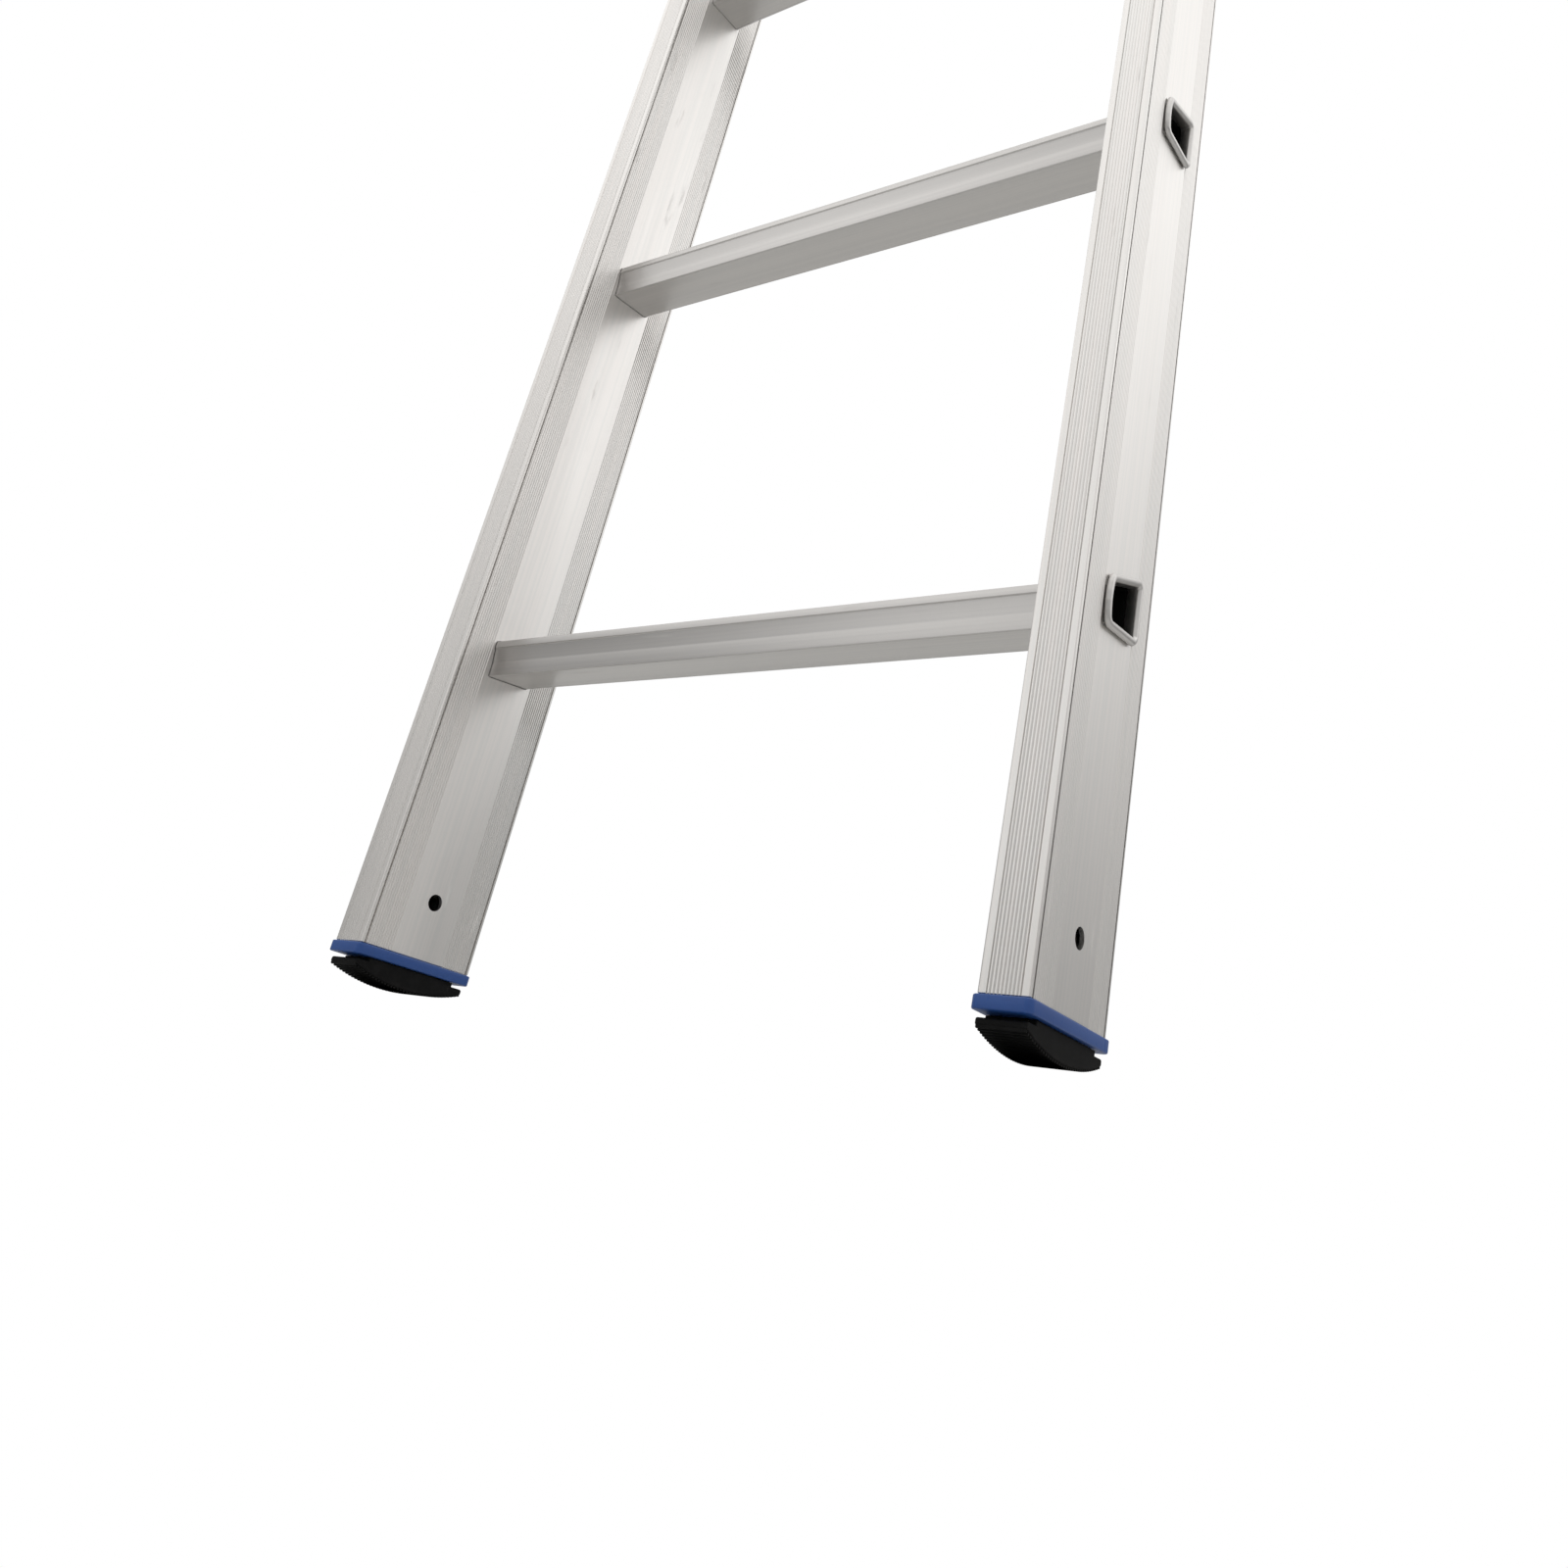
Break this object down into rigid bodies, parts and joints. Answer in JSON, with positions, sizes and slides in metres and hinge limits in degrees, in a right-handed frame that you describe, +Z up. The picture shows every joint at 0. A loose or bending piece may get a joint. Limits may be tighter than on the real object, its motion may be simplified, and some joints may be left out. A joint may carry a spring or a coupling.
{
  "type": "extension ladder",
  "caption": "Two-section aluminium extension ladder with box-section stiles, hollow rungs with sloping treads, slide guides, flip-up rung hooks and rocking rubber feet.",
  "frame": {"origin": "on the floor, midway between the stiles and midway between the base section and the fly section", "axes": "+X along the rungs to the climber's right, +Y away from the climber towards the wall, +Z up the stiles"},
  "size_m": [0.4226, 0.1594, 3.1119],
  "materials": {
    "stile_aluminium": "satin extruded, ribbed faces",
    "rung_aluminium": "satin extruded, bright edges",
    "blue_plastic": "moulded, fine grain",
    "black_plastic": "moulded, fine grain",
    "black_rubber": "dull, toothed",
    "zinc_steel": "zinc plated"
  },
  "bodies": {
    "base": {"base_stile_left": "stile_aluminium", "foot_collar_left": "blue_plastic", "foot_sole_left": "black_rubber", "base_top_cap_left": "black_plastic", "base_guide_left": "black_plastic", "base_guide_bolt_left_1": "zinc_steel", "base_guide_bolt_left_2": "zinc_steel", "base_stile_right": "stile_aluminium", "foot_collar_right": "blue_plastic", "foot_sole_right": "black_rubber", "base_top_cap_right": "black_plastic", "base_guide_right": "black_plastic", "base_guide_bolt_right_1": "zinc_steel", "base_guide_bolt_right_2": "zinc_steel", "base_rung_1": "rung_aluminium", "base_rung_2": "rung_aluminium", "base_rung_3": "rung_aluminium", "base_rung_4": "rung_aluminium", "base_rung_5": "rung_aluminium", "base_rung_6": "rung_aluminium", "base_rung_7": "rung_aluminium"},
    "fly": {"fly_stile_left": "stile_aluminium", "fly_bottom_cap_left": "black_plastic", "fly_top_cap_left": "blue_plastic", "fly_guide_left": "black_plastic", "fly_guide_bolt_left_1": "zinc_steel", "fly_guide_bolt_left_2": "zinc_steel", "hook_pin_left": "zinc_steel", "fly_stile_right": "stile_aluminium", "fly_bottom_cap_right": "black_plastic", "fly_top_cap_right": "blue_plastic", "fly_guide_right": "black_plastic", "fly_guide_bolt_right_1": "zinc_steel", "fly_guide_bolt_right_2": "zinc_steel", "hook_pin_right": "zinc_steel", "fly_rung_1": "rung_aluminium", "fly_rung_2": "rung_aluminium", "fly_rung_3": "rung_aluminium", "fly_rung_4": "rung_aluminium", "fly_rung_5": "rung_aluminium", "fly_rung_6": "rung_aluminium", "fly_rung_7": "rung_aluminium"},
    "left_hook": {"rung_hook_left": "zinc_steel"},
    "right_hook": {"rung_hook_right": "zinc_steel"}
  },
  "joints": [
    {"name": "fly_slide", "type": "slide", "parent": "base", "child": "fly", "axis": [0, 0, 1], "range_m": [-1.12, 0]},
    {"name": "left_hook_pivot", "type": "hinge", "parent": "fly", "child": "left_hook", "pos_m": [-0.1735, -0.0285, 1.37915], "axis": [1, 0, 0], "range_deg": [0, 120]},
    {"name": "right_hook_pivot", "type": "hinge", "parent": "fly", "child": "right_hook", "pos_m": [0.1735, -0.0285, 1.37915], "axis": [1, 0, 0], "range_deg": [0, 120]}
  ]
}
